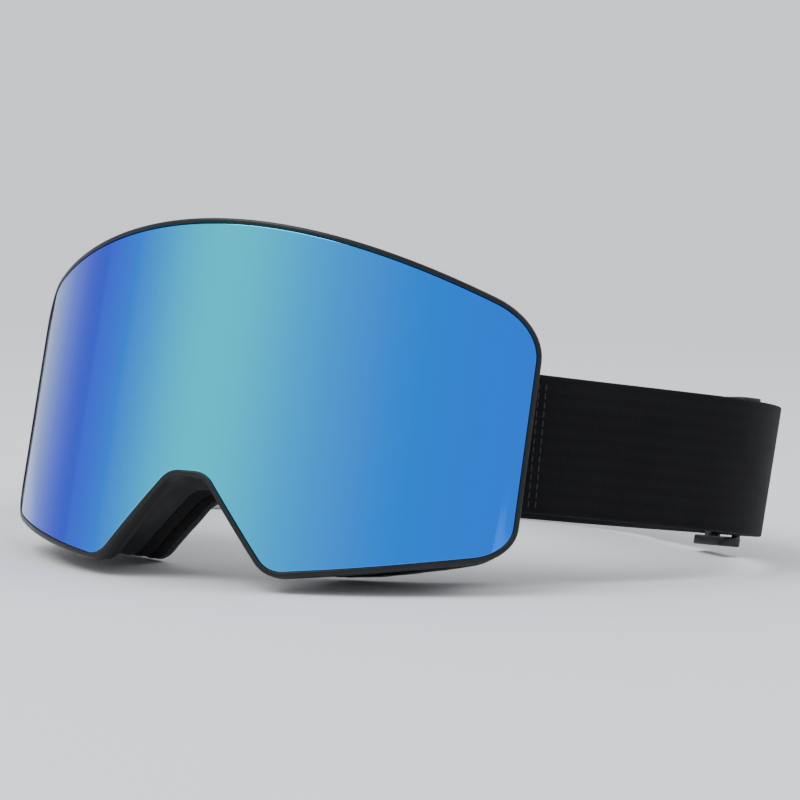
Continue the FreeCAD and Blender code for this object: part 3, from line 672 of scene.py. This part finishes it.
for v in bm.verts:
    v.co = stood(*on_lens(v.co.x, v.co.z, v.co.y))
mirror = finished(bm, "mirror_lens_sheet", coating.material, 20.0)
mirror.data.materials.append(tint.material)
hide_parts("outer_lens")
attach(mirror, "lens")

# ---------------------------------------------------------------- tape, spacer and inner lens
# Double-sided tape holds the lens on the rim's ledge. A strip of closed foam
# holds a thin clear inner lens 3 mm behind it, and the air between stops fog.
tape = Finish("lens_tape_film", Specular_IOR_Level=0.3)
tape_noise = tape.noise(tape.place(), 300, 3.0)
refinish(tape.feed(
    Base_Color=tape.mix(tape_noise, linear(24, 24, 26), linear(44, 44, 46)),
    Roughness=tape.span(tape_noise, 0.3, 0.7, 0.5, 0.65),
), "lens_tape")
clear = Finish("clear_inner_lens", Transmission_Weight=1.0, IOR=1.49)
clear_noise = clear.noise(clear.place(), 40, 4.0)
refinish(clear.feed(
    Base_Color=clear.mix(clear_noise, (0.93, 0.96, 0.97), (0.98, 0.99, 1.0)),
    Roughness=clear.span(clear_noise, 0.45, 0.75, 0.02, 0.09),
), "inner_lens")
SPACER_OUTSIDE = -6.0
SPACER_HALF = 75.5
SPACER_SECTION = [tuple(p) for p in rounded([
    (Vector((SPACER_OUTSIDE, 1.68)), 0.5), (Vector((SPACER_OUTSIDE, 4.52)), 0.5),
    (Vector((-9.5, 4.52)), 0.5), (Vector((-9.5, 1.68)), 0.5),
], (4, 4, 4, 4), 2)]


def in_spacer(k, margin, depth):
    """A point of the spacer, whose sides stay inside the rim's wide ledge."""
    spot = outline(LENS, margin, SPACER_HALF + margin - SPACER_OUTSIDE)[k]
    return on_lens(spot.x, spot.y, depth)


spacer = ring("lens_spacer_strip", SPACER_SECTION, in_spacer, cellular(
    "spacer_foam_cells", linear(20, 20, 22), linear(46, 46, 50), 0.4, 0.12))
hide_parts("lens_spacer")
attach(spacer, "lens")

# ---------------------------------------------------------------- strap
# Wide black elastic is woven with ribs along it. Each end goes round a bar and
# is sewn down; the inner tails lie against the band and pass the adjusters.
swing = joints["left_strap_swing"]
up = Vector(swing["axis"]).normalized()
if up.z < 0:
    up.negate()
back = up.cross(Vector((1, 0, 0))).normalized()
BAR_X = swing["pos_m"][0] / MM
STRAP = Matrix((
    (1, back.x, up.x, 0),
    (0, back.y, up.y, swing["pos_m"][1]),
    (0, back.z, up.z, swing["pos_m"][2]),
    (0, 0, 0, 1)))
STRAP_WIDTH = 40.0
STRAP_THICKNESS = 1.8
STRAP_GIRTH = 2 * (STRAP_WIDTH + STRAP_THICKNESS)
LAP = STRAP_THICKNESS + 0.15  # from the band's middle to the tail's
RIB_PITCH = 1.1
WEFT_PITCH = 0.8
HEADING = 36.0  # degrees outward from straight back
BACK_HEADING = -57.0
LOOP_RADIUS = 2.3
JOIN = 18.9  # where a sewn end meets the band, behind its bar
SIDE_RUN = 63.4
BEND = 41.0  # radius, where the side turns into the back
BACK_RUN = 50.0
TAIL_EASE = 60.0  # radius of the two bends that bring the tail against the band
STRAP_FLARE = 0.07  # behind the bend the strap's top leans out
bar = Vector((BAR_X, 0))


def along(heading):
    """The way a strap runs at that heading."""
    return Vector((math.sin(math.radians(heading)), math.cos(math.radians(heading))))


def inward(heading):
    """The way to the inside of the strap's loop at that heading."""
    return Vector((-math.cos(math.radians(heading)), math.sin(math.radians(heading))))


def route(start, heading, moves, step=3.0):
    """Places and headings along runs (length, None) and turns (radius, degrees). A turn goes
    inward, or with a negative radius outward."""
    spots = [(start, heading)]
    for size, turn in moves:
        if turn is None:
            count = max(1, round(size / step))
            spots += [(start + along(heading) * size * k / count, heading) for k in range(1, count + 1)]
        else:
            sign = 1 if size > 0 else -1
            centre = start + inward(heading) * size
            count = max(14, round(abs(size) * math.radians(turn) / step))
            headings = [heading - sign * turn * k / count for k in range(1, count + 1)]
            spots += [(centre - inward(h) * size, h) for h in headings]
        start, heading = spots[-1]
    return spots


def flare(spot):
    """How far the strap's top leans out there, for each millimetre of height."""
    behind = (Vector((abs(spot.x), spot.y)) - bar).dot(along(HEADING))
    share = min(1.0, max(0.0, (behind - JOIN) / (SIDE_RUN - JOIN)))
    return STRAP_FLARE * share * share * (3 - 2 * share)


def ribbon(name, spots, thickness, low, high, material, side=1, soft=0.6):
    """A band with soft edges that follows a route, standing from low to high."""
    half = thickness / 2
    section = rounded([
        (Vector((half, low)), soft), (Vector((half, high)), soft),
        (Vector((-half, high)), soft), (Vector((-half, low)), soft),
    ], (5, 5, 5, 5), 4)
    rows, columns = len(section), len(spots) - 1

    def at(u, v):
        inside, height = section[round(v * rows) % rows]
        spot, heading = spots[round(u * columns)]
        spot = spot + inward(heading) * (inside - flare(spot) * height)
        return STRAP @ (Vector((side * spot.x, spot.y, height)) * MM)

    return finished(grid(columns, rows, at), name, material, 40.0, close=True)


def length_of(spots):
    return sum((b[0] - a[0]).length for a, b in zip(spots, spots[1:]))


def elastic(name, length):
    """Woven elastic: ribs along it, and finer weft lines that stagger from rib to rib."""
    made = Finish(name, Specular_IOR_Level=0.15, Sheen_Weight=0.04, Sheen_Roughness=0.5)
    lengthwise, crosswise, _ = made.apart(made.node("ShaderNodeUVMap", {"uv_map": "surface"}, output="UV"))
    rib = crosswise * (STRAP_GIRTH / RIB_PITCH)
    ribs = (rib * (2 * math.pi)).math("SINE") * 0.5 + 0.5
    weft = lengthwise * (length / WEFT_PITCH) + rib.math("FLOOR") * 0.5
    wefts = (weft * (2 * math.pi)).math("SINE") * 0.5 + 0.5
    fuzz = made.noise(made.place(), 2500, 3.0, 0.6)
    cloudy = made.noise(made.place(), 45, 3.0)
    weave = ribs * 0.6 + wefts * 0.4
    return made.feed(
        Base_Color=made.mix(weave * 0.5 + fuzz * 0.3 + cloudy * 0.2, linear(3, 3, 4), linear(15, 15, 17)),
        Roughness=made.span(cloudy, 0.3, 0.7, 0.8, 0.92),
        Normal=made.bump(weave + fuzz * 0.4, 0.12 * MM, 0.7),
    )


band_start = bar - inward(HEADING) * LOOP_RADIUS
first_turn, last_turn = HEADING - BACK_HEADING, 90 + BACK_HEADING
back_start = route(band_start, HEADING, [(SIDE_RUN, None), (BEND, first_turn)])[-1][0]
back_end = back_start + along(BACK_HEADING) * BACK_RUN
back_radius = back_end.x / math.sin(math.radians(last_turn))
half_strap = STRAP_WIDTH / 2

side_run = (SIDE_RUN - JOIN, None)
band_spots = route(band_start + along(HEADING) * JOIN, HEADING, [
    side_run, (BEND, first_turn), (BACK_RUN, None), (back_radius, 2 * last_turn), (BACK_RUN, None),
    (BEND, first_turn), side_run])
band_piece = ribbon(
    "strap_outer_band", band_spots, STRAP_THICKNESS, -half_strap, half_strap,
    elastic("elastic_band", length_of(band_spots)))
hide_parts("strap_band")
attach(band_piece, "goggle_frame")

shift = 2 * LOOP_RADIUS - LAP
ease = math.degrees(math.acos(1 - shift / (2 * TAIL_EASE)))
tail_spots = route(bar + inward(HEADING) * LOOP_RADIUS + along(HEADING) * JOIN, HEADING, [
    (-TAIL_EASE, ease), (TAIL_EASE, ease),
    (SIDE_RUN - JOIN - 2 * TAIL_EASE * math.sin(math.radians(ease)), None),
    (BEND - LAP, first_turn), (BACK_RUN, None)])
tail_finish = elastic("elastic_tail", length_of(tail_spots))
end_spots = route(band_start + along(HEADING) * JOIN, HEADING + 180, [
    (JOIN, None), (-LOOP_RADIUS, 180), (JOIN, None)], 1.5)
end_finish = elastic("elastic_end", length_of(end_spots))
thread = Finish("sewing_thread", Specular_IOR_Level=0.4)
twist = thread.node("ShaderNodeTexWave", {"bands_direction": "DIAGONAL"}, {
    "Vector": thread.place(), "Scale": 1400.0, "Distortion": 0.4}, output="Fac")
thread.feed(
    Base_Color=thread.mix(twist, linear(8, 8, 9), linear(30, 30, 33)),
    Roughness=thread.span(twist, 0.0, 1.0, 0.45, 0.6),
    Normal=thread.bump(twist, 0.05 * MM, 0.6),
)
STITCH_ROWS = (7.5, 9.8)  # behind the bar
STITCH_START = 2.6  # above the strap's lower edge
STITCH_PITCH = 2.6
STITCH = (0.2, 0.3, 1.05)  # half its depth, width and length
SIDES = (("left", 1), ("right", -1))

for label, side in SIDES:
    tail = ribbon(
        f"strap_inner_tail_{label}", tail_spots, STRAP_THICKNESS, -half_strap, half_strap, tail_finish, side)
    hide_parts(f"strap_tail_{label}")
    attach(tail, "goggle_frame")
    sewn = ribbon(
        f"strap_sewn_end_{label}", end_spots, STRAP_THICKNESS, -half_strap, half_strap, end_finish, side)
    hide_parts(f"strap_end_{label}")

    bm = bmesh.new()
    for row in STITCH_ROWS:
        for k in range(int((STRAP_WIDTH - 4) / STITCH_PITCH) + 1):
            spot = band_start + along(HEADING) * row - inward(HEADING) * (STRAP_THICKNESS / 2 + 0.02)
            height = -half_strap + STITCH_START + k * STITCH_PITCH
            place = Matrix.Translation((side * spot.x, spot.y, height)) @ Matrix.Rotation(
                -side * math.radians(HEADING), 4, "Z") @ Matrix.Diagonal((*STITCH, 1))
            bmesh.ops.create_uvsphere(bm, u_segments=8, v_segments=6, radius=1.0, matrix=place)
    bmesh.ops.transform(bm, matrix=STRAP @ Matrix.Scale(MM, 4), verts=bm.verts)
    stitches = finished(bm, f"strap_stitches_{label}", thread.material, 60.0)
    for piece in (sewn, stitches):
        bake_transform(piece)

# ---------------------------------------------------------------- grip strips
# Three beads of black silicone are printed inside the back of the band, and
# keep it from sliding on a helmet.
GRIP_THICKNESS = 0.5
GRIP_HALF = 1.5
GRIP_SPREAD = 22.0  # degrees each side of the middle
GRIPS = (("low", -10.0), ("middle", 0.0), ("high", 10.0))
silicone = Finish("grip_silicone", Specular_IOR_Level=0.5, Coat_Weight=0.2, Coat_Roughness=0.2)
pebble = silicone.noise(silicone.place(), 800, 2.0)
silicone.feed(
    Base_Color=silicone.mix(pebble, linear(22, 22, 24), linear(36, 36, 39)),
    Roughness=silicone.span(pebble, 0.3, 0.7, 0.3, 0.45),
    Normal=silicone.bump(pebble, 0.05 * MM, 0.5),
)
grip_radius = back_radius - STRAP_THICKNESS / 2 - 0.05 - GRIP_THICKNESS / 2
centre = back_end + inward(BACK_HEADING) * back_radius
grip_heading = -90 + GRIP_SPREAD
grip_start = centre - inward(grip_heading) * grip_radius
grip_spots = route(grip_start, grip_heading, [(grip_radius, 2 * GRIP_SPREAD)])
for name, height in GRIPS:
    bead = ribbon(
        f"grip_bead_{name}", grip_spots, GRIP_THICKNESS, height - GRIP_HALF, height + GRIP_HALF,
        silicone.material, soft=0.2)
    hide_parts("grip_strips")
    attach(bead, "goggle_frame")

# ---------------------------------------------------------------- adjusters
# A moulded three-bar slide holds band and tail together by friction: two bars
# outside, one inside, and a rail past each edge of the strap.
slide_plastic = moulded("slide_plastic", linear(14, 14, 15), linear(28, 28, 30), 0.4, 0.3)
OUTSIDE = -STRAP_THICKNESS / 2 - 0.3
INSIDE = LAP + STRAP_THICKNESS / 2 + 0.3
BAR = 1.8
RAIL_LOW = half_strap + 0.6
RAIL = 3.0
RAIL_HALF = 9.0
OUTER_BARS = (-7.2, 4.2)
OUTER_BAR_WIDTH = 3.0
INNER_BAR_HALF = 1.75
BAR_IN_RAIL = 0.6
SLIDE_AT = 9.3  # from the bend, at rest
TALL = 1.0  # an upright edge rises more than this


def slide_block(bm, low, high, upright_round, round_over):
    """A block between two corners, its upright edges rounded more than the others."""
    size = Vector(high) - Vector(low)
    place = Matrix.Translation((Vector(low) + Vector(high)) / 2) @ Matrix.Diagonal((*size, 1))
    made = bmesh.ops.create_cube(bm, size=1.0, matrix=place)
    upright = dict.fromkeys(
        e for v in made["verts"] for e in v.link_edges if abs(e.verts[0].co.z - e.verts[1].co.z) > TALL)
    shaped = bmesh.ops.bevel(
        bm, geom=list(upright), offset=upright_round, segments=6, profile=0.5, affect="EDGES", material=-1)
    faces = dict.fromkeys(f for v in shaped["verts"] for f in v.link_faces)
    flat = dict.fromkeys(e for f in faces for e in f.edges if e.calc_face_angle(0.0) > CRISP)
    bmesh.ops.bevel(
        bm, geom=list(flat), offset=round_over, segments=3, profile=0.5, affect="EDGES", material=-1)


slide_spot = back_start + along(BACK_HEADING) * SLIDE_AT
bar_top = RAIL_LOW + BAR_IN_RAIL
turned_to = Matrix.Translation((*slide_spot, 0)) @ Matrix.Rotation(math.radians(90 - BACK_HEADING), 4, "Z")
flared = Matrix(((1, 0, 0, 0), (0, 1, -STRAP_FLARE, 0), (0, 0, 1, 0), (0, 0, 0, 1)))
for label, side in SIDES:
    bm = bmesh.new()
    for z in (RAIL_LOW, -RAIL_LOW - RAIL):
        slide_block(bm, (-RAIL_HALF, OUTSIDE - BAR, z), (RAIL_HALF, INSIDE + BAR, z + RAIL), 2.6, 0.45)
    for x in OUTER_BARS:
        slide_block(bm, (x, OUTSIDE - BAR, -bar_top), (x + OUTER_BAR_WIDTH, OUTSIDE, bar_top), 0.6, 0.2)
    slide_block(bm, (-INNER_BAR_HALF, INSIDE, -bar_top), (INNER_BAR_HALF, INSIDE + BAR, bar_top), 0.6, 0.2)
    whole = STRAP @ Matrix.Scale(MM, 4) @ Matrix.Diagonal((side, 1, 1, 1)) @ turned_to @ flared
    bmesh.ops.transform(bm, matrix=whole, verts=bm.verts)
    slide = finished(bm, f"strap_slide_{label}", slide_plastic)
    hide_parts(f"adjuster_{label}")
    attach(slide, f"{label}_adjuster")
